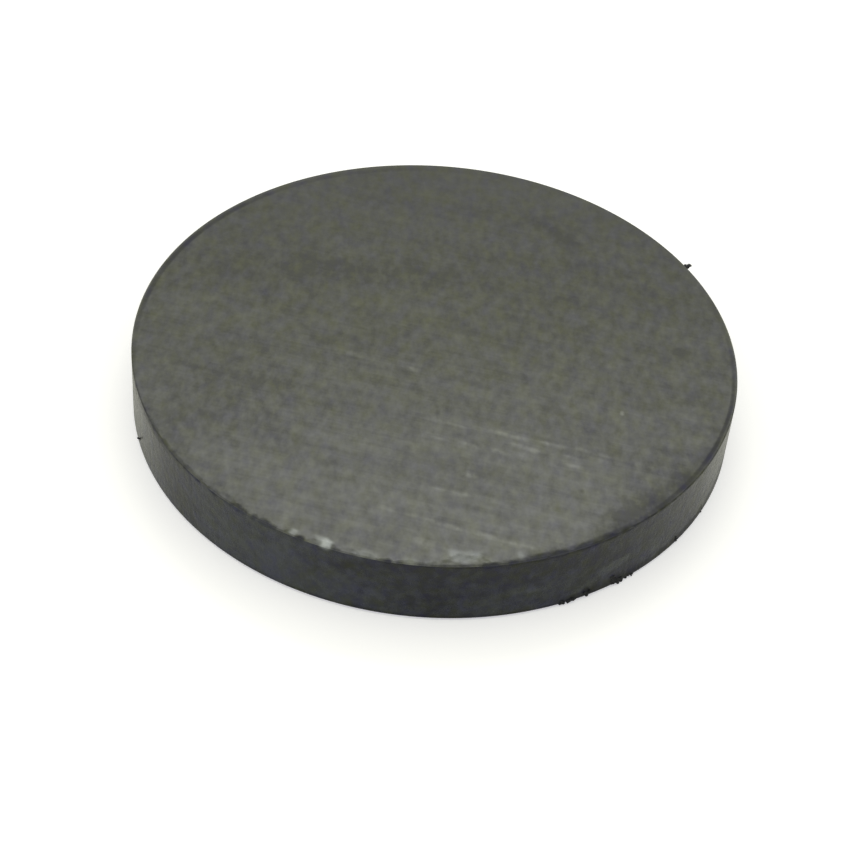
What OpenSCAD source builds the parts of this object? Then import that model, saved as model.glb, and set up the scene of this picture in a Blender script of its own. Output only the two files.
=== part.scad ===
// Ceramic disc magnet: one pressed and sintered ferrite disc with two ground pole faces.
// Millimetres. The origin is the centre of the lower face, +Z is the disc's axis,
// and the chipped side of the upper rim faces -Y.

/* [Disc] */
// Outside diameter of the wall, left as it was sintered
disc_d = 25; // [18:0.5:32]
// Thickness between the two ground pole faces
disc_t = 3; // [2:0.1:6]
// Width of the broken edge along the upper rim, seen from above or from the side
top_break = 0.05; // [0.03:0.01:0.2]
// Width of the broken edge along the lower rim
bottom_break = 0.12; // [0.05:0.01:0.3]

/* [Chips] */
// Width along the rim of the widest shell chip
shell_w = 1.3; // [0.8:0.1:2]
// Depth of the widest shell chip below the broken edge
shell_depth = 0.13; // [0.08:0.01:0.2]
// Turn of the whole chipped stretch about the disc's axis, in degrees
chips_turn = 0; // [-180:5:180]

/* [Nicks] */
// Bearing at which the run of small nicks starts, in degrees
nicks_from = -153; // [-160:1:-120]
// Bearing at which the run of small nicks ends, in degrees
nicks_to = -28; // [-60:1:-20]
// Number of small nicks along the run
nick_count = 18; // [0:1:30]
// Mean width of a small nick along the rim
nick_w = 0.34; // [0.26:0.02:0.5]
// Mean depth of a small nick below the broken edge
nick_depth = 0.025; // [0.015:0.005:0.06]

/* [Hidden] */

rim_r = disc_d / 2;
edge_lean = 45;   // which way the broken edge faces, above the horizontal
nick_golden = 137.5;   // step in degrees that keeps the nicks uneven

// Shell chips round the upper rim. Each row is the bearing in degrees, the width along the rim
// as a share of the widest, the depth as a share of the deepest, and the lean in degrees of the
// face it leaves: a small lean faces out of the wall, one near 90 faces up.
CHIPS = [
    [-149, 0.85, 0.25, 38],
    [-142, 0.70, 0.30, 42],
    [-134, 0.40, 0.50, 36],
    [-129.3, 0.45, 0.60, 44],
    [-126.4, 0.50, 0.40, 86],
    [-124.3, 0.40, 0.95, 48],
    [-122.8, 0.30, 0.70, 34],
    [-120.2, 0.35, 0.70, 42],
    [-117.8, 0.40, 0.90, 46],
    [-116.2, 0.30, 0.50, 34],
    [-112.7, 0.36, 0.50, 84],
    [-110.4, 0.35, 0.85, 40],
    [-108.3, 0.30, 0.35, 84],
    [-107.2, 0.40, 0.60, 82],
    [-105.9, 0.45, 0.90, 76],
    [-101.5, 0.60, 0.30, 78],
    [-98.5, 0.50, 0.35, 76],
    [-95, 0.35, 0.50, 40],
    [-91, 0.45, 0.45, 74],
    [-87.4, 0.40, 0.35, 74],
    [-84, 0.60, 0.45, 92],
    [-81.8, 0.80, 0.70, 92],
    [-79.8, 0.50, 0.40, 96],
    [-77.8, 0.40, 0.75, 36],
    [-76.4, 0.30, 0.60, 44],
    [-73, 0.30, 0.60, 48],
    [-71.4, 0.25, 0.45, 82],
    [-68.6, 0.50, 0.75, 60],
    [-64.8, 0.60, 0.70, 62],
    [-60, 0.70, 0.60, 62],
    [-55.2, 0.65, 0.50, 60],
    [-50.5, 0.50, 0.35, 58],
];

// Goes up and down between 0 and 1 with no short repeat
function uneven(i) = 0.5 + 0.5 * sin(i * nick_golden);

// Half section of the whole disc, with both edges broken
module disc_section() {
    polygon([
        [0, 0],
        [rim_r - bottom_break, 0],
        [rim_r, bottom_break],
        [rim_r, disc_t - top_break],
        [rim_r - top_break, disc_t],
        [0, disc_t],
    ]);
}

// The ball whose cut leaves one shell chip: it meets the broken edge over the
// chip's width and goes the chip's depth below it
module chip(bearing, width, depth, lean) {
    ball_r = (width * width / 4 + depth * depth) / (2 * depth);
    rotate([0, 0, bearing])
        translate([rim_r - top_break / 2, 0, disc_t - top_break / 2])
            rotate([0, -lean, 0])
                translate([ball_r - depth, 0, 0])
                    sphere(r = ball_r, $fn = 96);
}

// The larger chips of the upper rim
module shell_chips() {
    for (row = CHIPS)
        chip(row[0], row[1] * shell_w, row[2] * shell_depth, row[3]);
}

// Small nicks spread unevenly between the shell chips
module nicks() {
    step = (nicks_to - nicks_from) / max(nick_count, 1);
    for (i = [0 : 1 : nick_count - 1]) {
        bearing = nicks_from + (i + uneven(i)) * step;
        width = nick_w * (0.7 + 0.6 * uneven(3 * i + 1));
        depth = nick_depth * (0.7 + 0.6 * uneven(5 * i + 2));
        chip(bearing, width, depth, edge_lean);
    }
}

// The magnet: ground faces, sintered wall, and the chipped stretch of the upper rim
module magnet() {
    color("#5f605a")
        difference() {
            rotate_extrude($fn = 180) disc_section();
            rotate([0, 0, chips_turn]) {
                shell_chips();
                nicks();
            }
        }
}

magnet();
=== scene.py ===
import math
import bpy
import numpy as np
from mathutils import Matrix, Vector


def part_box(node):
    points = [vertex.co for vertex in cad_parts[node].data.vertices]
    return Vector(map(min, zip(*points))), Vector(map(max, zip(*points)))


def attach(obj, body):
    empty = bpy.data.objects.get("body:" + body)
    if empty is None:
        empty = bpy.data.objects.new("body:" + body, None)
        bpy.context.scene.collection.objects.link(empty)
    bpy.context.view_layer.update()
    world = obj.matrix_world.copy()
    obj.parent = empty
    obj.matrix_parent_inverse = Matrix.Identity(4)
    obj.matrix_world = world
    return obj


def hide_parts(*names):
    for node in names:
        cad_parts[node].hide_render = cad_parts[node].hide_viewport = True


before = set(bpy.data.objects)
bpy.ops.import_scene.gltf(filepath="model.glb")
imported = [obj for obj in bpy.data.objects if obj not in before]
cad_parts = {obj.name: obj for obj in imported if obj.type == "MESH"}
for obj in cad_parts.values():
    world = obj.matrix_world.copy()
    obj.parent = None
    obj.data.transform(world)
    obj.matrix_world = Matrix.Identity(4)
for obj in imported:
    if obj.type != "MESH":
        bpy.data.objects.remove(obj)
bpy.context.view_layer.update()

mm = 0.001   # the values below are in millimetres, Blender works in metres


def hexToLinear(code):
    # sRGB hex to linear: c / 12.92 up to 0.04045, ((c + 0.055) / 1.055) ** 2.4 above
    srgb = np.array([int(code[i:i + 2], 16) for i in (1, 3, 5)]) / 255
    low = srgb / 12.92
    high = ((srgb + 0.055) / 1.055) ** 2.4
    return tuple(float(c) for c in np.where(srgb <= 0.04045, low, high)) + (1.0,)


def addNode(tree, kind, inputs=None, **settings):
    # settings are the node's own properties; inputs are values, hex colours or sockets to link, by name
    # or number
    node = tree.nodes.new(kind)
    for key, value in settings.items():
        setattr(node, key, value)
    for key, value in (inputs or {}).items():
        if isinstance(value, bpy.types.NodeSocket):
            tree.links.new(value, node.inputs[key])
        elif isinstance(value, str):
            node.inputs[key].default_value = hexToLinear(value)
        else:
            node.inputs[key].default_value = value
    return node


def valueNoise(x, y, size, seed):
    # smooth noise from 0 to 1: a random value at each corner of a grid whose cells are size wide in
    # x and y, blended with 3t^2 - 2t^3
    table = np.random.default_rng(seed).random((256, 256))
    x, y = x / size[0], y / size[1]
    ix, iy = np.floor(x).astype(int), np.floor(y).astype(int)
    tx, ty = x - ix, y - iy
    tx, ty = tx * tx * (3 - 2 * tx), ty * ty * (3 - 2 * ty)
    left, right, front, back = ix % 256, (ix + 1) % 256, iy % 256, (iy + 1) % 256
    near = table[left, front] * (1 - tx) + table[right, front] * tx
    far = table[left, back] * (1 - tx) + table[right, back] * tx
    return near * (1 - ty) + far * ty


def smoothStep(edge0, edge1, x):
    # 0 below edge0, 1 above edge1, 3t^2 - 2t^3 between
    t = np.clip((x - edge0) / (edge1 - edge0), 0, 1)
    return t * t * (3 - 2 * t)


def soften(values, passes):
    # each pass is half the value and half the mean of its four neighbours on the grid
    for _ in range(passes):
        rows = np.pad(values, ((1, 1), (0, 0)), mode="edge")
        across = np.roll(values, 1, axis=1) + np.roll(values, -1, axis=1)
        values = values / 2 + (rows[:-2] + rows[2:] + across) / 8
    return values


def addMesh(name, points, faces, faceMaterial=None, sharpAngle=None, **attributes):
    # points in millimetres; faces as blocks of vertex numbers; attributes hold one value a point
    mesh = bpy.data.meshes.new(name)
    corners = np.concatenate([block.reshape(-1) for block in faces])
    sides = np.concatenate([np.full(len(block), block.shape[1]) for block in faces])
    mesh.vertices.add(len(points))
    mesh.vertices.foreach_set("co", (points * mm).astype(np.float32).reshape(-1))
    mesh.loops.add(len(corners))
    mesh.loops.foreach_set("vertex_index", corners.astype(np.int32))
    mesh.polygons.add(len(sides))
    mesh.polygons.foreach_set("loop_start", (np.cumsum(sides) - sides).astype(np.int32))
    mesh.update(calc_edges=True)
    mesh.polygons.foreach_set("use_smooth", np.ones(len(sides), bool))
    if faceMaterial is not None:
        mesh.polygons.foreach_set("material_index", faceMaterial.astype(np.int32))
    if sharpAngle is not None:
        mesh.set_sharp_from_angle(angle=math.radians(sharpAngle))
    for key, values in attributes.items():
        mesh.attributes.new(key, "FLOAT", "POINT").data.foreach_set("value", values.astype(np.float32))
    piece = bpy.data.objects.new(name, mesh)
    bpy.context.scene.collection.objects.link(piece)
    return piece


camera = {
    "lens": 89.54,                   # on a 36 mm wide film
    "place": (0.0, -66.19, 60.23),   # 88 mm from the middle of the upper face, 41 degrees up
    "target": (-0.16, -4.91, 3.0),   # a little in front of the disc's middle
    "roll": 5.0,                     # degrees, the disc's right side hangs lower
}


def addCamera():
    # looks from its place to the target, then rolls about its own axis
    data = bpy.data.cameras.new("camera")
    data.lens = camera["lens"]
    data.clip_start = 0.005
    eye = bpy.data.objects.new("camera", data)
    place, target = Vector(camera["place"]) * mm, Vector(camera["target"]) * mm
    eye.matrix_world = (target - place).to_track_quat("-Z", "Y").to_matrix().to_4x4()
    eye.rotation_euler.rotate_axis("Z", math.radians(camera["roll"]))
    eye.location = place
    bpy.context.scene.collection.objects.link(eye)
    bpy.context.scene.camera = eye


addCamera()
bpy.context.scene.view_settings.view_transform = "Standard"
print("camera set")


low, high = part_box("magnet")
rimR = (high.x - low.x) / 2 / mm
discT = (high.z - low.z) / mm

disc = {
    "topBreak": 0.05,           # width of the broken edge on the upper rim
    "bottomBreak": 0.12,        # and on the lower rim
    "shellWidth": 1.3,          # widest shell chip, along the rim
    "shellDepth": 0.13,         # deepest shell chip, below the broken edge
    "chippedFrom": -160,        # bearings between which the rim is chipped, degrees
    "chippedTo": -22,
    "fadeFrom": 12,             # degrees over which the crumbled edge sets in
    "fadeTo": 30,               # and dies away
    "raggedDepth": 0.05,        # how far the crumbled edge between the chips goes in
    "raggedLength": 0.36,       # length of one crumb's bite along the rim
    "chipWander": 0.15,         # how far a chip's outline strays along the rim
    "bendSize": (0.26, 0.13),   # of the bends in that outline, along the rim and across it
    "smallBendSize": (0.1, 0.06),
    "chipUnevenness": 0.35,     # how far a chip's face strays from its ball, as a share of the depth
    "lumpSize": (0.19, 0.16),   # of the lumps on that face
    "fractureRelief": 0.004,    # unevenness of a broken face
    "newDepth": 0.6,            # depth of the new breaks, flatter than a ball's cut, as a share of it
    "fineStep": 0.045,          # spacing of the mesh along the chipped rim
    "plainStep": 0.2,           # and along the rest of the rim
    "poleGap": 0.4,             # radius of the small fan of triangles at each pole
    "sharpAngle": 24,           # edges that turn by more than this stay sharp, degrees
}

# bearing in degrees, width and depth as shares of the largest, lean of the face left,
# 1 where the break is new and 0 where it is worn dark
shellChips = np.array([
    (-149, 0.85, 0.25, 38, 0),
    (-142, 0.70, 0.30, 42, 0),
    (-134, 0.40, 0.50, 36, 0),
    (-129.3, 0.45, 0.60, 44, 0),
    (-126.4, 0.50, 0.40, 86, 1),
    (-124.3, 0.40, 0.95, 48, 0),
    (-122.8, 0.30, 0.70, 34, 0),
    (-120.2, 0.35, 0.70, 42, 0),
    (-117.8, 0.40, 0.90, 46, 0),
    (-116.2, 0.30, 0.50, 34, 0),
    (-112.7, 0.36, 0.50, 84, 1),
    (-110.4, 0.35, 0.85, 40, 0),
    (-108.3, 0.30, 0.35, 84, 1),
    (-107.2, 0.40, 0.60, 82, 1),
    (-105.9, 0.45, 0.90, 76, 1),
    (-101.5, 0.60, 0.30, 78, 1),
    (-98.5, 0.50, 0.35, 76, 1),
    (-95, 0.35, 0.50, 40, 0),
    (-91, 0.45, 0.45, 74, 1),
    (-87.4, 0.40, 0.35, 74, 1),
    (-84, 0.60, 0.45, 92, 1),
    (-81.8, 0.80, 0.70, 92, 1),
    (-79.8, 0.50, 0.40, 96, 1),
    (-77.8, 0.40, 0.75, 36, 0),
    (-76.4, 0.30, 0.60, 44, 0),
    (-73, 0.30, 0.60, 48, 0),
    (-71.4, 0.25, 0.45, 82, 1),
    (-68.6, 0.50, 0.75, 60, 0),
    (-64.8, 0.60, 0.70, 62, 0),
    (-60, 0.70, 0.60, 62, 0),
    (-55.2, 0.65, 0.50, 60, 0),
    (-50.5, 0.50, 0.35, 58, 0),
])

# how dark the worn breaks are along the rim: bearing in degrees and strength
wornStretch = np.array([
    (-160, 0.00),
    (-136, 0.25),
    (-126, 0.62),
    (-116, 0.70),
    (-108, 0.95),
    (-100, 0.90),
    (-88, 0.80),
    (-79, 0.80),
    (-72, 1.00),
    (-62, 1.00),
    (-48, 0.10),
    (-22, 0.00),
])

# pale faces of the new breaks, their lighter grey with a painted glint, each wider on the face than
# at the rim: bearing in degrees, half width inside and at the rim, how far in from the sharp corner
# it starts and ends, strength
paleGlintFaces = [
    (-126.5, 0.22, 0.15, 0.30, 0.52, 0.07),
    (-112.6, 0.18, 0.14, 0.04, 0.38, 0.36),
    (-107.4, 0.34, 0.16, 0.05, 0.46, 0.23),
    (-106.1, 0.27, 0.20, -0.08, 0.40, 0.54),
    (-99.0, 0.50, 0.42, -0.02, 0.30, 0.12),
    (-91.3, 0.25, 0.20, 0.00, 0.32, 0.10),
    (-88.0, 0.18, 0.15, 0.02, 0.26, 0.07),
    (-81.4, 0.74, 0.46, 0.20, 0.80, 0.22),
    (-71.5, 0.08, 0.07, 0.12, 0.50, 0.20),
]


def bearings():
    # columns round the disc: fine steps over the chipped stretch, wide ones over the rest
    start, end = math.radians(disc["chippedFrom"]), math.radians(disc["chippedTo"])
    fineCount = round((end - start) * rimR / disc["fineStep"])
    plainCount = round((2 * math.pi - (end - start)) * rimR / disc["plainStep"])
    fine = np.linspace(start, end, fineCount, endpoint=False)
    plain = np.linspace(end, start + 2 * math.pi, plainCount, endpoint=False)
    return np.concatenate([fine, plain])


def section():
    # half section from the middle of the upper face, over the rim, to the middle of the lower face, as
    # straight runs with closer points towards the rims: radius, height, number of points and zone, which
    # is 0 for the ground faces and the upper edge, 1 for the wall and the lower edge
    topR, lowR = rimR - disc["topBreak"], rimR - disc["bottomBreak"]
    topZ, lowZ = discT - disc["topBreak"], disc["bottomBreak"]
    outerR, edgeR, underEdge, overFoot = topR - 1.4, topR - 0.6, topZ - 0.5, lowZ + 0.5
    runs = [
        (np.linspace(disc["poleGap"], outerR, 12), discT, 12, 0),
        (np.linspace(outerR, edgeR, 13)[1:], discT, 12, 0),
        (np.linspace(edgeR, topR, 15)[1:], discT, 14, 0),
        (np.linspace(topR, rimR, 5)[1:], np.linspace(discT, topZ, 5)[1:], 4, 0),
        (rimR, np.linspace(topZ, underEdge, 12)[1:], 11, 1),
        (rimR, np.linspace(underEdge, overFoot, 10)[1:], 9, 1),
        (rimR, np.linspace(overFoot, lowZ, 9)[1:], 8, 1),
        (np.linspace(rimR, lowR, 3)[1:], np.linspace(lowZ, 0, 3)[1:], 2, 1),
        (np.linspace(lowR, disc["poleGap"], 6)[1:], 0.0, 5, 0),
    ]
    r, z, zone = (np.concatenate([np.broadcast_to(run[i], run[2]) for run in runs]) for i in (0, 1, 3))
    return r, z, zone


def cutChips(points, theta, along, depthBelow, inward):
    # a point inside a chip's ball slides down and in at 45 degrees until it leaves the ball,
    # t = -b + sqrt(b^2 - c), and by a share of that where the break is new; the point is first moved
    # along the rim by noise, so that the outline wanders; old says how far it lies in a worn break
    tangent = np.stack([-np.sin(theta), np.cos(theta), np.zeros_like(theta)], -1)
    lumps = valueNoise(along, depthBelow, disc["lumpSize"], 7) - 0.5
    wander = valueNoise(along, depthBelow, disc["bendSize"], 8) - 0.5
    wander += 0.5 * valueNoise(along, depthBelow, disc["smallBendSize"], 9) - 0.25
    strayed = points + 2 * disc["chipWander"] * wander[..., None] * tangent
    middleR, middleZ = rimR - disc["topBreak"] / 2, discT - disc["topBreak"] / 2
    cut, old = np.zeros((2, *theta.shape))
    for bearing, width, depth, lean, isNew in shellChips:
        width, depth = width * disc["shellWidth"], depth * disc["shellDepth"]
        ballR = (width * width / 4 + depth * depth) / (2 * depth)
        turn, lean = math.radians(bearing), math.radians(lean)
        outR = middleR + (ballR - depth) * math.cos(lean)
        upZ = middleZ + (ballR - depth) * math.sin(lean)
        ball = np.array([outR * math.cos(turn), outR * math.sin(turn), upZ])
        away = strayed + cut[..., None] * inward - ball
        b = (away * inward).sum(-1)
        c = (away * away).sum(-1) - (ballR + lumps * disc["chipUnevenness"] * depth) ** 2
        slide = np.where(c < 0, -b + np.sqrt(np.maximum(b * b - c, 0)), 0)
        inBreak = smoothStep(-0.03, 0.05, ballR - np.sqrt((away * away).sum(-1)))
        old = old * (1 - inBreak) + inBreak * (1 - isNew)
        cut += slide * (disc["newDepth"] if isNew else 1)
    return cut, old


def crumbleEdge(cut, z, theta, along, depthBelow):
    # what the crumbled edge takes away: a point above a plane of uneven depth goes back to that plane,
    # which is the broken edge plus noise above 0.42, fading out at both ends of the chipped stretch
    degrees = np.degrees(theta)
    window = smoothStep(disc["chippedFrom"], disc["chippedFrom"] + disc["fadeFrom"], degrees)
    window *= 1 - smoothStep(disc["chippedTo"] - disc["fadeTo"], disc["chippedTo"], degrees)
    length = disc["raggedLength"]
    crumbs = 0.65 * valueNoise(along, depthBelow, (length, 0.3), 3)
    crumbs += 0.35 * valueNoise(along, depthBelow, (length / 2.7, 0.15), 4)
    crumbs = np.clip((crumbs - 0.42) / 0.4, 0, 1)
    bite = disc["topBreak"] / math.sqrt(2) + disc["raggedDepth"] * crumbs * window
    return np.maximum(bite - depthBelow - cut, 0) * (window > 0) * (z > discT / 2)


def breakRim(points, theta):
    # the chips, then the crumbled edge, then the fine relief of every broken face; cut is how far a
    # point moves inwards and down at 45 degrees, and depthBelow how far it lies below the sharp corner
    # along that line
    inward = np.stack([-np.cos(theta), -np.sin(theta), -np.ones_like(theta)], -1) / math.sqrt(2)
    r, z = np.hypot(points[..., 0], points[..., 1]), points[..., 2]
    depthBelow = (rimR - r + discT - z) / math.sqrt(2)
    along = theta * rimR
    cut, old = cutChips(points, theta, along, depthBelow, inward)
    crumble = crumbleEdge(cut, z, theta, along, depthBelow)
    cut += crumble
    old = np.maximum(old, 0.6 * smoothStep(0, 0.025, crumble))
    old *= np.interp(np.degrees(theta), wornStretch[:, 0], wornStretch[:, 1])
    relief = valueNoise(along, depthBelow, (0.09, 0.07), 5)
    relief += valueNoise(along, depthBelow, (0.2, 0.2), 6)
    cut += smoothStep(0, 0.025, cut) * disc["fractureRelief"] * (relief - 1)
    cut = soften(np.maximum(cut, 0), 2)
    return points + cut[..., None] * inward, soften(old, 3)


def paleness(r, z, theta):
    # a pale face, a new break's lighter grey with a painted glint: its strength inside a trapezium with
    # uneven, soft edges, 0 outside
    along = theta * rimR
    across = (rimR - r) - (discT - z)
    wander = valueNoise(along, across, (0.22, 0.22), 10) - 0.5
    wander += 0.5 * valueNoise(along, across, (0.1, 0.1), 13) - 0.25
    total = np.zeros_like(r)
    for bearing, innerHalf, rimHalf, start, end, strength in paleGlintFaces:
        half = rimHalf + (innerHalf - rimHalf) * (across - start) / (end - start)
        fromSide = np.abs(along - math.radians(bearing) * rimR) - half + 0.2 * wander
        inFace = 1 - smoothStep(-0.09, 0.05, fromSide)
        inFace *= 1 - smoothStep(end - 0.1, end + 0.05, across + 0.2 * wander)
        inFace *= smoothStep(start - 0.1, start + 0.12, across + 0.1 * wander)
        total = np.maximum(total, strength * inFace)
    return total * (z > discT / 2)


# the dark line along the upper rim, painted shade for the edge's shadow line: bearing in degrees,
# middle of the line in millimetres from the sharp corner (inwards on the face, below 0 down the
# wall), half width and strength
upperLine = np.array([
    (-180, 0.16, 0.14, 0.40),
    (-173, 0.12, 0.14, 0.40),
    (-170, -0.05, 0.40, 0.60),
    (-166, -0.05, 0.25, 0.40),
    (-158, -0.15, 0.30, 0.38),
    (-150, -0.20, 0.34, 0.60),
    (-140, -0.15, 0.30, 0.28),
    (-132, -0.10, 0.25, 0.18),
    (-124, -0.05, 0.20, 0.00),
    (-92, -0.05, 0.16, 0.00),
    (-86, -0.02, 0.16, 0.55),
    (-79, -0.02, 0.17, 0.65),
    (-75, 0.05, 0.20, 0.45),
    (-69, 0.05, 0.33, 0.75),
    (-62, 0.05, 0.32, 0.80),
    (-55, 0.07, 0.32, 0.75),
    (-45, 0.12, 0.18, 0.70),
    (-38, 0.17, 0.16, 0.80),
    (-20, 0.17, 0.13, 0.90),
    (-8, 0.15, 0.12, 0.75),
    (6, 0.16, 0.12, 0.45),
    (25, 0.20, 0.16, 0.25),
    (60, 0.30, 0.20, 0.20),
    (100, 0.38, 0.22, 0.40),
    (140, 0.26, 0.17, 0.70),
    (170, 0.19, 0.15, 0.80),
    (180, 0.16, 0.14, 0.40),
])

# the dark line along the foot of the wall, painted contact shade with grime: bearing, height and
# strength
lowerLine = np.array([
    (-180, 0.30, 0.20),
    (-168, 0.30, 0.00),
    (-153, 0.30, 0.00),
    (-146, 0.30, 0.20),
    (-130, 0.34, 0.45),
    (-100, 0.40, 0.65),
    (-80, 0.40, 0.65),
    (-66, 0.42, 0.60),
    (-60, 0.70, 0.70),
    (-38, 0.76, 0.62),
    (-28, 0.85, 0.60),
    (-20, 1.10, 0.42),
    (-14, 1.30, 0.50),
    (-8, 1.20, 0.50),
    (4, 0.50, 0.30),
    (20, 0.35, 0.30),
    (180, 0.30, 0.30),
])

# the faint shade on the face inside the upper line: bearing, reach from the rim and strength
rimShade = np.array([
    (-165, 1.0, 0.00),
    (-150, 1.0, 0.26),
    (-140, 1.0, 0.18),
    (-132, 1.1, 0.32),
    (-122, 0.9, 0.28),
    (-113, 0.7, 0.10),
    (-108, 0.7, 0.00),
    (-73, 0.7, 0.00),
    (-68, 0.8, 0.40),
    (-58, 1.1, 0.42),
    (-45, 1.4, 0.45),
    (-34, 1.3, 0.50),
    (-22, 1.0, 0.36),
    (-8, 0.8, 0.16),
    (10, 0.8, 0.00),
])


def rimGrimeAndShade(r, z, theta):
    # upper line: its strength times 1 - smooth step of the distance from its middle, by half widths;
    # shade: its strength falling to 0 at its reach; lower line: its strength at the foot, falling to 0
    # at an uneven height
    # painted shade, with grime: the upper line darkens the edge, the shade the face inside it, the lower
    # line the foot of the wall
    along = theta * rimR
    across = (rimR - r) - (discT - z)
    degrees = np.degrees(np.arctan2(np.sin(theta), np.cos(theta)))
    patch = valueNoise(along, z, (0.7, 0.5), 11)
    speck = valueNoise(along, z, (0.22, 0.2), 12)

    def columnsOf(rows):
        return (np.interp(degrees, rows[:, 0], column) for column in rows[:, 1:].T)

    middle, halfWidth, strength = columnsOf(upperLine)
    line = 1 - smoothStep(0.3, 1.2, np.abs(across - middle) / halfWidth)
    line *= strength * (0.75 + 0.4 * patch)
    reach, strength = columnsOf(rimShade)
    shade = (1 - smoothStep(0.2, 1, across / reach)) * (across > 0)
    shade *= strength * (0.8 + 0.4 * patch)
    height, strength = columnsOf(lowerLine)
    height = height * (0.6 + 0.4 * patch + 0.5 * speck)
    lower = strength * (1 - smoothStep(0.4, 1, z / height))
    return np.clip(np.where(z > discT / 2, np.maximum(line, shade), lower), 0, 1)


def addMagnet():
    # the half section carried round the disc's axis, cut by the chips and closed by a fan of triangles
    # at each pole; each point keeps its grime and painted shade, how worn it is, and how freshly broken
    # it is, with the painted glint of the new breaks
    theta = bearings()
    r, z, zone = section()
    shape = (len(r), len(theta))
    theta = np.broadcast_to(theta, shape)
    r, z = np.broadcast_to(r[:, None], shape), np.broadcast_to(z[:, None], shape)
    grid = np.stack([r * np.cos(theta), r * np.sin(theta), z], -1)
    grime = rimGrimeAndShade(r, z, theta)
    fresh = soften(paleness(r, z, theta), 4)
    grid, old = breakRim(grid, theta)
    old *= 1 - np.clip(8 * fresh, 0, 1)
    old *= smoothStep(-0.2, -0.05, (rimR - r) - (discT - z))
    rows, columns = shape
    number = np.arange(rows * columns).reshape(shape)
    nextNumber = np.roll(number, -1, axis=1)
    quads = np.stack([number[:-1], number[1:], nextNumber[1:], nextNumber[:-1]], -1).reshape(-1, 4)
    topPole, lowPole = rows * columns, rows * columns + 1
    topFan = np.stack([np.full(columns, topPole), number[0], nextNumber[0]], -1)
    lowFan = np.stack([np.full(columns, lowPole), nextNumber[-1], number[-1]], -1)
    points = np.concatenate([grid.reshape(-1, 3), [(0, 0, discT), (0, 0, 0)]])
    quadZone = np.repeat(np.maximum(zone[:-1], zone[1:]), columns)
    faceMaterial = np.concatenate([quadZone, np.zeros(2 * columns)])
    atPoles = np.zeros(2)
    piece = addMesh(
        "discMagnet", points, [quads, topFan, lowFan], faceMaterial, disc["sharpAngle"],
        old=np.append(old, atPoles), fresh=np.append(fresh, atPoles), grime=np.append(grime, atPoles),
    )
    piece.data.materials.append(groundFerrite())
    piece.data.materials.append(sinteredFerrite())
    return piece


def startMaterial(name):
    # a node tree with a Principled shader, an output and the object's own coordinates in millimetres
    material = bpy.data.materials.new(name)
    material.use_nodes = True
    tree = material.node_tree
    tree.nodes.clear()
    shader = addNode(tree, "ShaderNodeBsdfPrincipled")
    addNode(tree, "ShaderNodeOutputMaterial", {"Surface": shader.outputs["BSDF"]})
    coordinates = addNode(tree, "ShaderNodeTexCoord")
    place = addNode(tree, "ShaderNodeMapping", {
        "Vector": coordinates.outputs["Object"], "Scale": (1 / mm, 1 / mm, 1 / mm),
    }).outputs["Vector"]
    return material, tree, shader, place


def addPatterns(tree, place, patterns, bearing=0):
    # a noise about 0.5 for each named pattern: the sizes of its coarsest lumps in x, y and z, with x
    # turned to the bearing, then the number of finer layers and how strong each is beside the last
    noises = {}
    for name, (*size, detail, roughness) in patterns.items():
        here = addNode(tree, "ShaderNodeMapping", {
            "Vector": place, "Rotation": (0, 0, math.radians(bearing)), "Scale": size,
        }, vector_type="TEXTURE").outputs["Vector"]
        noises[name] = addNode(tree, "ShaderNodeTexNoise", {
            "Vector": here, "Scale": 1.0, "Detail": detail, "Roughness": roughness,
        }).outputs["Fac"]
    return noises


def addUp(tree, start, noises, weights):
    # start + the sum of (noise - 0.5) * weight over the named weights
    total = start
    for name, weight in weights.items():
        centred = addNode(tree, "ShaderNodeMath", {0: noises[name], 1: 0.5}, operation="SUBTRACT")
        total = addNode(tree, "ShaderNodeMath", {0: centred.outputs[0], 1: weight, 2: total},
                        operation="MULTIPLY_ADD").outputs[0]
    return total


def addSpots(tree, place, rows):
    # sum of soft spots, 1 in the middle and 0 at the reach; a row is middle, turn, reach and strength
    total = 0.0
    for middle, turn, reach, strength in rows:
        here = addNode(tree, "ShaderNodeMapping", {
            "Vector": place, "Location": middle, "Rotation": (0, 0, turn), "Scale": reach,
        }, vector_type="TEXTURE").outputs["Vector"]
        spot = addNode(tree, "ShaderNodeTexGradient", {"Vector": here}, gradient_type="SPHERICAL")
        total = addNode(tree, "ShaderNodeMath", {0: spot.outputs["Fac"], 1: strength, 2: total},
                        operation="MULTIPLY_ADD").outputs[0]
    return total


broken = {
    "old": "#24262d",
    # pale of the new breaks, their lighter grey with a painted glint
    "new": "#c2c8c4",
    # the dark of the rim lines: grime and painted shade
    "grime": "#0c0e10",
    "roughness": 0.6,           # of grime and painted shade and of broken faces
    "yellowGreen": "#ccd161",   # the grains' hue strays from this
    "violet": "#a7a1f4",        # to this, about an even grey
    "patterns": {
        "grain": (0.12, 0.12, 0.12, 3, 0.6),
        "lump": (0.35, 0.35, 0.35, 2, 0.5),
    },
    # how much each pattern adds to the grime and painted shade, to the worn faces and to the new ones
    "grimeShadeWeights": {"grain": 0.3, "lump": 0.4},
    "oldWeights": {"grain": 0.7},
    "newWeights": {"grain": 0.6, "lump": 0.8},
}


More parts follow.
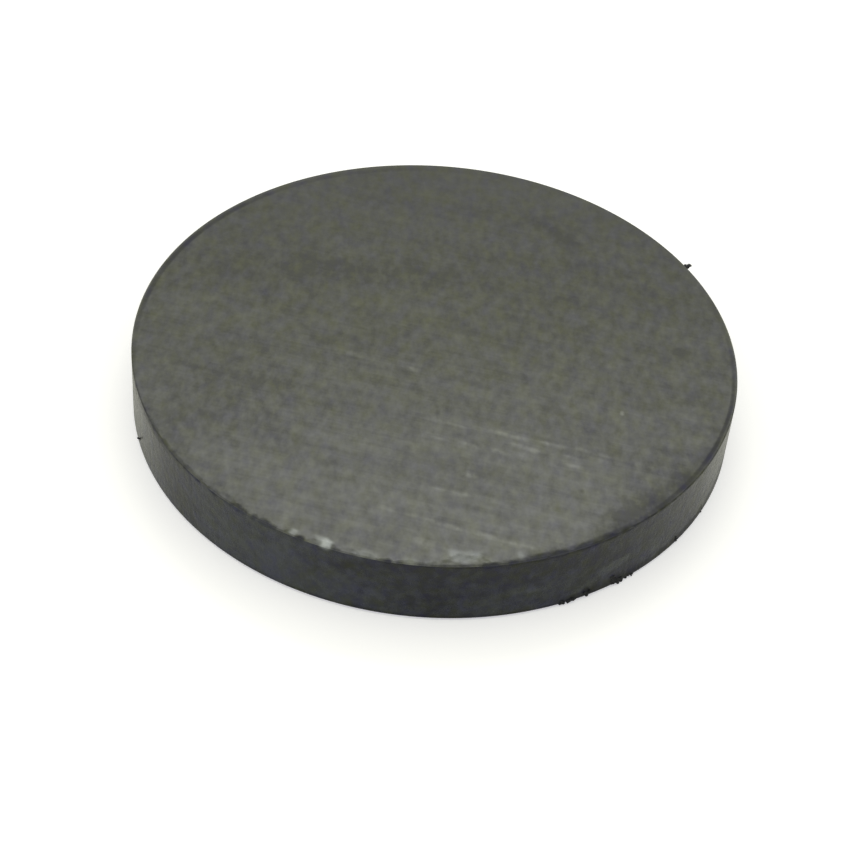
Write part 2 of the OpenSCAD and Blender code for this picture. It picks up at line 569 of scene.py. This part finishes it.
def addWear(tree, shader, place, color, roughness, hue, hueSpread):
    # lays the dark rim grime and painted shade and then the broken faces over a surface's own colour
    # and roughness: a fracture through fine grains is pale where it is new, with a painted glint, and
    # dark where it has been handled
    noises = addPatterns(tree, place, broken["patterns"])
    worn = {}
    for name, weights, start, end in (
        ("grime", broken["grimeShadeWeights"], 0.05, 1.0),
        ("old", broken["oldWeights"], 0.2, 0.9),
    ):
        amount = addNode(tree, "ShaderNodeAttribute", attribute_name=name).outputs["Fac"]
        worn[name] = addNode(tree, "ShaderNodeMapRange", {
            "Value": addUp(tree, amount, noises, weights), "From Min": start, "From Max": end,
        }, interpolation_type="SMOOTHSTEP").outputs["Result"]
        color = addNode(tree, "ShaderNodeMix", {0: worn[name], 6: color, 7: broken[name]},
                        data_type="RGBA").outputs[2]
    # pale new breaks: their lighter grey with a painted glint
    fresh = addNode(tree, "ShaderNodeAttribute", attribute_name="fresh").outputs["Fac"]
    uneven = addUp(tree, 1.0, noises, broken["newWeights"])
    pale = addNode(tree, "ShaderNodeMath", {0: fresh, 1: uneven}, operation="MULTIPLY", use_clamp=True)
    color = addNode(tree, "ShaderNodeMix", {0: pale.outputs[0], 6: color, 7: broken["new"]},
                    data_type="RGBA").outputs[2]
    # the grains differ a little in hue, drawn coarser than they are so that it shows
    hues = addNode(tree, "ShaderNodeMix", {0: hue, 6: broken["violet"], 7: broken["yellowGreen"]},
                   data_type="RGBA").outputs[2]
    color = addNode(tree, "ShaderNodeMix", {0: hueSpread, 6: color, 7: hues},
                    data_type="RGBA", blend_type="LINEAR_LIGHT").outputs[2]
    tree.links.new(color, shader.inputs["Base Color"])
    most = addNode(tree, "ShaderNodeMath", {0: worn["grime"], 1: worn["old"]}, operation="MAXIMUM")
    roughness = addNode(tree, "ShaderNodeMix", {
        0: most.outputs[0], 2: roughness, 3: broken["roughness"],
    }).outputs[0]
    tree.links.new(roughness, shader.inputs["Roughness"])


ground = {
    "dark": "#161900",
    "light": "#696b63",
    "tone": 0.15,           # from dark to light, at the back of the face
    "frontSheen": 0.28,      # what is added towards the chipped side, a painted sheen: the face paler at the front, where the light falls brighter
    "backGrain": 0.36,      # how strong the grain is at the back of the face
    "frontSparkleGrain": 1.56,     # and at the chipped side, stronger there as a painted sparkle of the sheen
    "markStrength": 0.42,   # of the traces and stains, as a share of the way from dark to light
    "hueSpread": 0.041,     # how far the grains' hue strays
    "yellowing": 0.1,       # how much yellower the middle of the face is
    "roughness": 0.36,
    "relief": 0.004,        # depth of the grinding marks
    "markBearing": -10.5,   # the wheel ran almost from left to right
    "marks": {              # the finest real ones are about 0.02 mm apart, drawn coarser to show
        "fine": (1.6, 0.11, 1.0, 2, 0.5),
        "coarse": (6.0, 0.45, 1.0, 3, 0.6),
        "broad": (12.0, 1.7, 1.0, 2, 0.5),
    },
    "grains": {             # real grains are some 0.002 mm, drawn coarser to show, longer front to back
        "grain": (0.36, 0.576, 0.36, 2, 0.6),
        "mottle": (1.1, 1.76, 1.1, 2, 0.5),
        "hue": (0.6, 0.96, 0.6, 3, 0.6),
    },
    "toneWeights": {"fine": 0.11, "coarse": 0.24, "grain": 0.80, "mottle": 0.14, "broad": 0.32},
    "traceWeights": {"coarse": 1.5, "grain": 3.0},
    "stainWeights": {"coarse": 1.5, "grain": -1.2},
    "roughnessWeights": {"grain": 0.1, "coarse": -0.1},
    "reliefWeights": {"fine": 0.7, "coarse": 0.6, "grain": 1.2},
}

# light and dark traces on the upper face, the grinding streaks, their lighter ones partly painted
# glints:
# from x, y to x, y in millimetres, width, strength
traces = [
    (-0.3, -4.45, 1.0, -4.65, 0.36, 0.35),
    (0.5, -4.6, 1.6, -4.9, 0.2, 0.45),
    (2.3, -4.85, 3.2, -5.05, 0.28, 0.6),
    (3.2, -5.08, 4.05, -5.32, 0.3, 0.85),
    (4.35, -5.28, 5.05, -5.44, 0.26, 0.7),
    (5.0, -5.42, 5.5, -5.54, 0.28, 0.65),
    (5.6, -5.4, 6.6, -5.65, 0.2, 0.5),
    (6.4, -5.6, 7.9, -6.0, 0.24, 0.45),
    (8.0, -6.0, 9.0, -6.25, 0.3, 0.35),
    (0.0, -5.5, 0.9, -5.7, 0.2, 0.5),
    (1.1, -5.65, 2.0, -5.9, 0.2, 0.6),
    (3.0, -5.45, 4.0, -5.72, 0.28, 0.75),
    (3.65, -5.68, 4.75, -5.92, 0.3, 0.85),
    (5.1, -5.8, 6.0, -6.1, 0.24, 0.6),
    (6.3, -5.95, 7.6, -6.2, 0.3, 0.35),
    (2.4, -5.9, 3.3, -6.2, 0.3, 0.6),
    (3.4, -6.1, 4.4, -6.4, 0.4, 0.6),
    (5.3, -6.4, 6.2, -6.62, 0.24, 0.6),
    (4.6, -6.45, 5.3, -6.6, 0.2, 0.4),
    (1.35, -7.36, 2.1, -7.62, 0.34, 0.85),
    (0.1, -8.3, 1.0, -8.52, 0.24, 0.45),
    (1.0, -8.5, 2.0, -8.7, 0.26, 0.6),
    (1.9, -8.6, 3.2, -8.95, 0.3, 0.55),
    (-1.75, -9.6, -0.9, -9.9, 0.3, 0.5),
    (-0.7, -9.85, 0.4, -10.15, 0.26, 0.6),
    (0.1, -10.05, 1.0, -10.38, 0.22, 0.7),
    (0.8, -10.28, 1.8, -10.55, 0.26, 1.1),
    (1.9, -10.5, 3.1, -10.88, 0.28, 1.1),
    (2.95, -10.82, 4.0, -11.14, 0.28, 1.1),
    (3.8, -10.95, 4.5, -11.2, 0.24, 0.6),
    (-0.5, -11.15, 1.1, -11.65, 0.44, 0.5),
    (-0.2, -11.4, 0.6, -11.65, 0.3, 0.4),
    (-3.75, -0.9, -2.9, -1.2, 0.24, 0.5),
    (-1.35, -1.5, -0.5, -1.75, 0.26, 0.6),
    (-3.9, -1.15, -2.7, -1.42, 0.28, -0.35),
    (-1.7, -1.72, -0.7, -1.95, 0.26, -0.4),
    (0.8, -5.15, 1.6, -5.45, 0.3, -0.45),
    (1.7, -5.55, 2.2, -5.95, 0.24, -0.5),
    (3.9, -5.0, 5.6, -5.3, 0.26, -0.35),
    (5.95, -7.85, 6.25, -7.85, 0.3, -0.7),
    (0.15, -4.15, 0.45, -4.15, 0.36, -0.55),
    (7.58, -3.2, 7.82, -3.2, 0.26, 1.6),
    (9.7, 0.9, 10.5, 0.9, 0.5, -0.7),
]

# broad soft stains on the upper face, where hands and oil have been, in the same form
stains = [
    (-11.4, 1.35, -10.0, 1.5, 0.5, 0.5),
    (-10.2, 1.65, -8.8, 1.9, 0.5, 0.4),
    (-3.2, -10.45, -1.4, -11.0, 0.5, 0.4),
    (-6.2, -9.6, -4.3, -10.2, 0.6, 0.3),
    (-5.4, -10.6, -4.8, -10.9, 0.8, 0.5),
    (0.9, -12.04, 1.5, -12.0, 0.5, 0.5),
    (1.6, -5.1, 8.2, -6.4, 1.1, 0.16),
    (-8.2, -2.6, -3.8, -3.6, 0.8, -0.35),
    (-12.4, -4.6, -3.0, -5.3, 4.0, -0.25),
    (3.2, 9.5, 6.9, 6.3, 0.9, -0.45),
    (-11.0, 3.6, 1.5, 4.7, 2.6, -0.3),
    (6.4, -10.3, 9.9, -7.1, 1.4, -0.85),
    (7.2, -9.3, 8.0, -8.8, 0.5, -0.9),
    (6.5, -10.2, 11.3, -4.6, 3.4, -0.4),
    (-11.4, -4.4, -8.4, -8.6, 3.0, -0.25),
]


def onFace(rows):
    # the spots of traces on the upper face: each in the middle between its ends, turned along them
    for x0, y0, x1, y1, width, strength in rows:
        reach = (math.hypot(x1 - x0, y1 - y0) / 2, width * 0.65, 1.0)
        yield ((x0 + x1) / 2, (y0 + y1) / 2, discT), math.atan2(y1 - y0, x1 - x0), reach, strength


def groundFerrite():
    # sintered hard ferrite ground flat with a diamond wheel: a satin olive grey with near straight marks
    material, tree, shader, place = startMaterial("groundFerrite")
    noises = addPatterns(tree, place, ground["marks"], ground["markBearing"])
    noises.update(addPatterns(tree, place, ground["grains"]))
    side = addNode(tree, "ShaderNodeSeparateXYZ", {0: place}).outputs["Y"]
    # painted sheen: the face turns paler towards the front, where the light falls brighter
    front = addNode(tree, "ShaderNodeMapRange", {
        "Value": side, "From Min": 5.0, "From Max": -14.0,
    }, interpolation_type="SMOOTHSTEP").outputs["Result"]
    front = addNode(tree, "ShaderNodeMath", {0: front, 1: ground["frontSheen"], 2: ground["tone"]},
                    operation="MULTIPLY_ADD").outputs[0]
    marked = 0.0
    for rows, start, weights in (
        (traces, 1.35, ground["traceWeights"]),
        (stains, 1.0, ground["stainWeights"]),
    ):
        marked = addNode(tree, "ShaderNodeMath", {
            0: addSpots(tree, place, onFace(rows)), 1: addUp(tree, start, noises, weights), 2: marked,
        }, operation="MULTIPLY_ADD").outputs[0]
    # painted sparkle: the grain's contrast grows towards the front, where the sheen lies
    strength = addNode(tree, "ShaderNodeMapRange", {
        "Value": side, "From Min": rimR, "From Max": -rimR,
        "To Min": ground["backGrain"], "To Max": ground["frontSparkleGrain"],
    }).outputs["Result"]
    tone = addNode(tree, "ShaderNodeMath", {
        0: addUp(tree, 0.0, noises, ground["toneWeights"]), 1: strength, 2: front,
    }, operation="MULTIPLY_ADD").outputs[0]
    tone = addNode(tree, "ShaderNodeMath", {0: marked, 1: ground["markStrength"], 2: tone},
                   operation="MULTIPLY_ADD", use_clamp=True).outputs[0]
    color = addNode(tree, "ShaderNodeMix", {0: tone, 6: ground["dark"], 7: ground["light"]},
                    data_type="RGBA").outputs[2]
    roughness = addUp(tree, ground["roughness"], noises, ground["roughnessWeights"])
    yellow = addSpots(tree, place, [((-1.0, 1.2, discT), 0.0, (18.0, 8.0, 5.0), ground["yellowing"])])
    hue = addUp(tree, yellow, noises, {"hue": 1.0})
    hue = addNode(tree, "ShaderNodeMath", {0: hue, 1: 0.5}, operation="ADD", use_clamp=True).outputs[0]
    addWear(tree, shader, place, color, roughness, hue, ground["hueSpread"])
    bump = addNode(tree, "ShaderNodeBump", {
        "Height": addUp(tree, 0.5, noises, ground["reliefWeights"]),
        "Distance": ground["relief"] * mm, "Strength": 1.0,
    })
    tree.links.new(bump.outputs["Normal"], shader.inputs["Normal"])
    shader.inputs["IOR"].default_value = 1.5
    return material


wall = {
    "dark": "#060a18",
    "light": "#34383f",
    "pale": "#9a9b94",    # of the painted glare at the ends of the wall
    "tone": 0.06,         # from dark to light, at the upper rim
    "footBounce": 0.5,      # how much paler the wall is at its foot than at its upper rim, painted light from the floor
    "hueSpread": 0.040,   # how far the grains' hue strays
    "roughness": 0.26,
    "relief": 0.016,      # unevenness of the pressed skin
    "patterns": {         # the grain is drawn out upwards, as the disc was pushed out of its die
        "grain": (0.2, 0.2, 0.44, 2, 0.6),
        "mottle": (0.4, 0.4, 0.4, 3, 0.5),
        "cloud": (2.5, 2.5, 2.5, 2, 0.5),
        "hue": (0.5, 0.5, 0.5, 3, 0.6),
    },
    "toneWeights": {"grain": 0.35, "mottle": 1.6, "cloud": 0.8},
    "glareWeights": {"mottle": 2.0, "grain": 1.0},
    "roughnessWeights": {"mottle": 0.3, "grain": 0.2},
    "reliefWeights": {"grain": 1.0, "mottle": 1.5},
}

# light and dark patches on the wall; the broad pale ones on the left, at -116, -128 and -140, are
# painted light, that side of the wall lit more: bearing in degrees, height, half length, half height,
# strength
wallMarks = [
    (-116, 1.3, 6.0, 4.0, 0.68),
    (-121, 2.9, 1.8, 0.6, 0.35),
    (-155.8, 2.1, 0.5, 0.5, 0.8),
    (-128, 1.0, 1.0, 0.7, 0.25),
    (-140, 1.6, 1.0, 0.6, 0.25),
    (-97.5, 1.2, 0.35, 0.3, 0.9),
    (-97.2, 2.15, 0.5, 0.3, -0.3),
    (-86, 1.3, 1.6, 1.2, -0.15),
    (-68.8, 1.25, 1.1, 0.22, 0.6),
    (-63, 2.25, 0.6, 0.35, -0.4),
    (-58.2, 0.45, 0.25, 0.25, -1.0),
    (-56.8, 2.2, 0.45, 0.3, -0.7),
    (-54.5, 1.1, 0.4, 0.3, 1.4),
    (-52.3, 1.25, 0.5, 0.3, 1.6),
    (-50.5, 1.3, 0.45, 0.25, 1.2),
    (-52.2, 0.5, 0.35, 0.3, -1.6),
    (-48.8, 0.5, 0.6, 0.35, -0.9),
    (-47, 1.8, 0.16, 1.2, 0.5),
    (-42.8, 0.85, 0.5, 0.3, 0.7),
    (-42, 1.7, 0.6, 0.35, -0.4),
    (-35.8, 0.4, 0.3, 0.3, -1.0),
]

# where the wall is paled near its ends, a painted reflection of the bright surroundings at a grazing
# angle: bearing in degrees, height, half length, half height, strength
glareMarks = [
    (-165, 1.2, 5.4, 3.4, 0.22),
    (-12, 2.2, 4.8, 3.2, 0.18),
]


def onWall(rows):
    # the spots of patches on the wall, each turned to face outwards
    for bearing, z, along, up, strength in rows:
        turn = math.radians(bearing)
        middle = (rimR * math.cos(turn), rimR * math.sin(turn), z)
        yield middle, turn, (max(0.8, along / 3), along, up), strength


def sinteredFerrite():
    # the skin left by pressing and firing: dark blue grey, smooth enough to pale at a grazing angle
    material, tree, shader, place = startMaterial("sinteredFerrite")
    noises = addPatterns(tree, place, wall["patterns"])
    height = addNode(tree, "ShaderNodeSeparateXYZ", {0: place}).outputs["Z"]
    # painted light: the wall turns paler towards its foot, standing in for the light the floor throws up
    fromTop = addNode(tree, "ShaderNodeMath", {
        0: height, 1: -wall["footBounce"] / discT, 2: wall["tone"] + wall["footBounce"],
    }, operation="MULTIPLY_ADD").outputs[0]
    tone = addUp(tree, fromTop, noises, wall["toneWeights"])
    # the wall's patches, the broad pale ones on the left painted light
    tone = addNode(tree, "ShaderNodeMath", {0: tone, 1: addSpots(tree, place, onWall(wallMarks))},
                   operation="ADD", use_clamp=True).outputs[0]
    color = addNode(tree, "ShaderNodeMix", {0: tone, 6: wall["dark"], 7: wall["light"]},
                    data_type="RGBA").outputs[2]
    # painted reflection: the ends of the wall paled as at a grazing angle
    glare = addUp(tree, 1.0, noises, wall["glareWeights"])
    glare = addNode(tree, "ShaderNodeMath", {0: glare, 1: addSpots(tree, place, onWall(glareMarks))},
                    operation="MULTIPLY", use_clamp=True).outputs[0]
    color = addNode(tree, "ShaderNodeMix", {0: glare, 6: color, 7: wall["pale"]},
                    data_type="RGBA").outputs[2]
    roughness = addUp(tree, wall["roughness"], noises, wall["roughnessWeights"])
    addWear(tree, shader, place, color, roughness, noises["hue"], wall["hueSpread"])
    bump = addNode(tree, "ShaderNodeBump", {
        "Height": addUp(tree, 0.5, noises, wall["reliefWeights"]),
        "Distance": wall["relief"] * mm, "Strength": 1.0,
    })
    tree.links.new(bump.outputs["Normal"], shader.inputs["Normal"])
    shader.inputs["IOR"].default_value = 1.45
    return material


magnet = addMagnet()
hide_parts("magnet")
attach(magnet, "root")
print("magnet made:", len(magnet.data.polygons), "faces")


filings = {
    "dark": "#0e0f11",
    "light": "#2f3134",
    "patterns": {"grain": (0.06, 0.06, 0.06, 2, 0.5)},
    "roughness": 0.5,
    "metallic": 0.4,
    "fan": 50,          # how far the slivers of a clump turn apart, degrees
    "lumpiness": 0.5,   # how far a sliver's outline strays, as a share of its radius
    "sunk": 0.03,       # how deep a sliver's foot stands in the disc
    "sharpAngle": 50,   # edges that turn by more than this stay sharp, degrees
    "seed": 41,
}

# clumps of steel slivers that the disc holds: bearing, height, spread along and up the wall,
# number, length and radius of the slivers
clumps = [
    (-158.3, 0.5, 0.05, 0.05, 3, 0.12, 0.036),
    (-63.0, 0.16, 0.14, 0.08, 8, 0.07, 0.055),
    (-61.2, 0.14, 0.18, 0.08, 12, 0.08, 0.055),
    (-57.9, 0.22, 0.14, 0.16, 16, 0.08, 0.055),
    (-52.2, 0.42, 0.16, 0.24, 18, 0.03, 0.065),
    (-50.9, 0.2, 0.22, 0.14, 22, 0.06, 0.065),
    (-48.4, 0.14, 0.3, 0.1, 8, 0.03, 0.05),
    (-35.8, 0.28, 0.12, 0.14, 10, 0.04, 0.055),
    (-26.0, 0.14, 0.16, 0.08, 3, 0.03, 0.04),
    (32.8, 2.9, 0.08, 0.04, 8, 0.12, 0.05),
]

# one longer, bent sliver at the back of the upper rim: bearing, height, length, radius,
# rise at its foot and at its tip in degrees
whisker = (32.2, 2.88, 0.5, 0.085, 62, -40)


def direction(bearing, rise):
    # unit vectors from bearings and rises above the horizontal, both in degrees
    turn, lift = np.broadcast_arrays(np.radians(bearing), np.radians(rise))
    return np.stack([np.cos(lift) * np.cos(turn), np.cos(lift) * np.sin(turn), np.sin(lift)], -1)


def slivers(foot, start, end, length, radius, rng):
    # tubes on a grid: the middle line is foot + length * (start * t + (end - start) * t^2 / 2), the
    # radius is radius * (1 - t^4) ^ 0.5 with uneven lumps; returns points and faces for all of them
    rows, columns, count = 8, 10, len(foot)
    t = np.linspace(0, 1, rows)[None, :, None]
    start, end = start[:, None], end[:, None]
    line = foot[:, None] + length[:, None, None] * (start * t + (end - start) * t * t / 2)
    heading = start + (end - start) * t
    heading /= np.linalg.norm(heading, axis=-1, keepdims=True)
    side = np.cross((0.2, 0.1, 1.0), heading)
    side /= np.linalg.norm(side, axis=-1, keepdims=True)
    up = np.cross(heading, side)
    around = np.linspace(0, 2 * math.pi, columns, endpoint=False)[:, None]
    lumps = 1 + filings["lumpiness"] * (rng.random((count, rows, columns, 1)) - 0.5)
    reach = radius[:, None, None, None] * np.sqrt(1 - 0.97 * t[..., None] ** 4) * lumps
    ring = np.cos(around) * side[:, :, None] + np.sin(around) * up[:, :, None]
    grid = (line[:, :, None] + reach * ring).reshape(count, rows * columns, 3)
    points = np.concatenate([grid, line[:, [0, -1]]], axis=1)
    number = np.arange(rows * columns).reshape(rows, columns)
    nextNumber = np.roll(number, -1, axis=1)
    quads = np.stack([number[:-1], nextNumber[:-1], nextNumber[1:], number[1:]], -1).reshape(-1, 4)
    footFan = np.stack([np.full(columns, rows * columns), nextNumber[0], number[0]], -1)
    tipFan = np.stack([np.full(columns, rows * columns + 1), number[-1], nextNumber[-1]], -1)
    offset = (np.arange(count) * (rows * columns + 2))[:, None, None]
    faces = [(block + offset).reshape(-1, block.shape[1]) for block in (quads, footFan, tipFan)]
    points[..., 2] = np.maximum(points[..., 2], 0)   # none goes below the lower face
    return points.reshape(-1, 3), faces


def addFilings():
    # the slivers of each clump start at random places on the wall and fan out at random
    rng = np.random.default_rng(filings["seed"])
    clump = np.repeat(np.array(clumps), [row[4] for row in clumps], axis=0)
    scatter = rng.normal(0, 0.5, (len(clump), 2))
    bearing = clump[:, 0] + np.degrees(scatter[:, 0] * clump[:, 2] / rimR)
    height = np.maximum(clump[:, 1] + scatter[:, 1] * clump[:, 3], 0.04)
    turn, rise = rng.uniform(-filings["fan"], filings["fan"], (2, len(clump)))
    length = clump[:, 5] * rng.uniform(0.6, 1.4, len(clump)) + filings["sunk"]
    radius = clump[:, 6] * rng.uniform(0.6, 1.2, len(clump))
    bearing = np.append(bearing, whisker[0])
    foot = (rimR - filings["sunk"]) * direction(bearing, 0)
    foot[:, 2] = np.append(height, whisker[1])
    bearing += np.append(turn, 0)
    start = direction(bearing, np.append(rise * 0.6, whisker[4]))
    end = direction(bearing, np.append(rise * 0.6, whisker[5]))
    length, radius = np.append(length, whisker[2]), np.append(radius, whisker[3])
    points, faces = slivers(foot, start, end, length, radius, rng)
    piece = addMesh("steelFilings", points, faces, None, filings["sharpAngle"])
    piece.data.materials.append(filedSteel())
    return piece


def filedSteel():
    # fine steel dust and slivers, dulled by dirt and a film of rust
    material, tree, shader, place = startMaterial("filedSteel")
    grain = addPatterns(tree, place, filings["patterns"])["grain"]
    color = addNode(tree, "ShaderNodeMix", {0: grain, 6: filings["dark"], 7: filings["light"]},
                    data_type="RGBA").outputs[2]
    tree.links.new(color, shader.inputs["Base Color"])
    shader.inputs["Metallic"].default_value = filings["metallic"]
    shader.inputs["Roughness"].default_value = filings["roughness"]
    return material


steelFilings = addFilings()
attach(steelFilings, "root")
print("filings made:", len(clumps), "clumps")


studio = {
    "floorSize": 3000.0,
    "floorGap": 0.01,         # between the board and the disc
    "floor": "#e8e8dd",       # pale board, a touch warm
    "floorGlow": "#f4f4ff",   # colour of the lift below
    "floorLift": 0.42,        # what the board adds for the camera alone, so that it shows white
    "glossLift": 0.05,        # and what it adds in reflections
    "sky": "#fffffa",
    "skyStrength": 1.08,      # straight overhead; half of it at the horizon
    "skyLean": 0.2,           # how much brighter the left horizon is than the right one
    "keyPower": 0.09,         # watts
    "keySize": (150.0, 40.0),
    "keyPlace": (12.0, 160.0, 205.0),
}


def addFloor():
    # a square board just below the disc
    half, z = studio["floorSize"] / 2, -studio["floorGap"]
    corners = np.array([(-half, -half, z), (half, -half, z), (half, half, z), (-half, half, z)])
    piece = addMesh("floor", corners, [np.array([[0, 1, 2, 3]])])
    material, tree, shader, place = startMaterial("matteBoard")
    shader.inputs["Base Color"].default_value = hexToLinear(studio["floor"])
    shader.inputs["Roughness"].default_value = 0.9
    shader.inputs["Specular IOR Level"].default_value = 0.0
    rays = addNode(tree, "ShaderNodeLightPath")
    gloss = addNode(tree, "ShaderNodeMath", {
        0: rays.outputs["Is Glossy Ray"], 1: studio["glossLift"],
    }, operation="MULTIPLY").outputs[0]
    lift = addNode(tree, "ShaderNodeMath", {
        0: rays.outputs["Is Camera Ray"], 1: studio["floorLift"], 2: gloss,
    }, operation="MULTIPLY_ADD").outputs[0]
    tree.links.new(lift, shader.inputs["Emission Strength"])
    shader.inputs["Emission Color"].default_value = hexToLinear(studio["floorGlow"])
    piece.data.materials.append(material)


def addLight():
    # a soft sky, strength * (1 + sine of the elevation - lean * eastward part) / 2, and a long softbox
    # behind the disc
    world = bpy.data.worlds.new("world")
    world.use_nodes = True
    bpy.context.scene.world = world
    tree = world.node_tree
    tree.nodes.clear()
    toSky = addNode(tree, "ShaderNodeTexCoord").outputs["Generated"]
    toward = addNode(tree, "ShaderNodeSeparateXYZ", {0: toSky}).outputs
    half = studio["skyStrength"] / 2
    base = addNode(tree, "ShaderNodeMath", {
        0: toward["X"], 1: -studio["skyLean"] * half, 2: half,
    }, operation="MULTIPLY_ADD").outputs[0]
    strength = addNode(tree, "ShaderNodeMath", {0: toward["Z"], 1: half, 2: base},
                       operation="MULTIPLY_ADD").outputs[0]
    sky = addNode(tree, "ShaderNodeBackground", {"Color": studio["sky"], "Strength": strength})
    addNode(tree, "ShaderNodeOutputWorld", {"Surface": sky.outputs["Background"]})
    lamp = bpy.data.lights.new("softbox", "AREA")
    lamp.shape = "RECTANGLE"
    lamp.size, lamp.size_y = studio["keySize"][0] * mm, studio["keySize"][1] * mm
    lamp.energy = studio["keyPower"]
    key = bpy.data.objects.new("softbox", lamp)
    key.location = Vector(studio["keyPlace"]) * mm
    key.rotation_euler = (-key.location).to_track_quat("-Z", "Y").to_euler()
    bpy.context.scene.collection.objects.link(key)


addFloor()
addLight()
print("floor and light set")
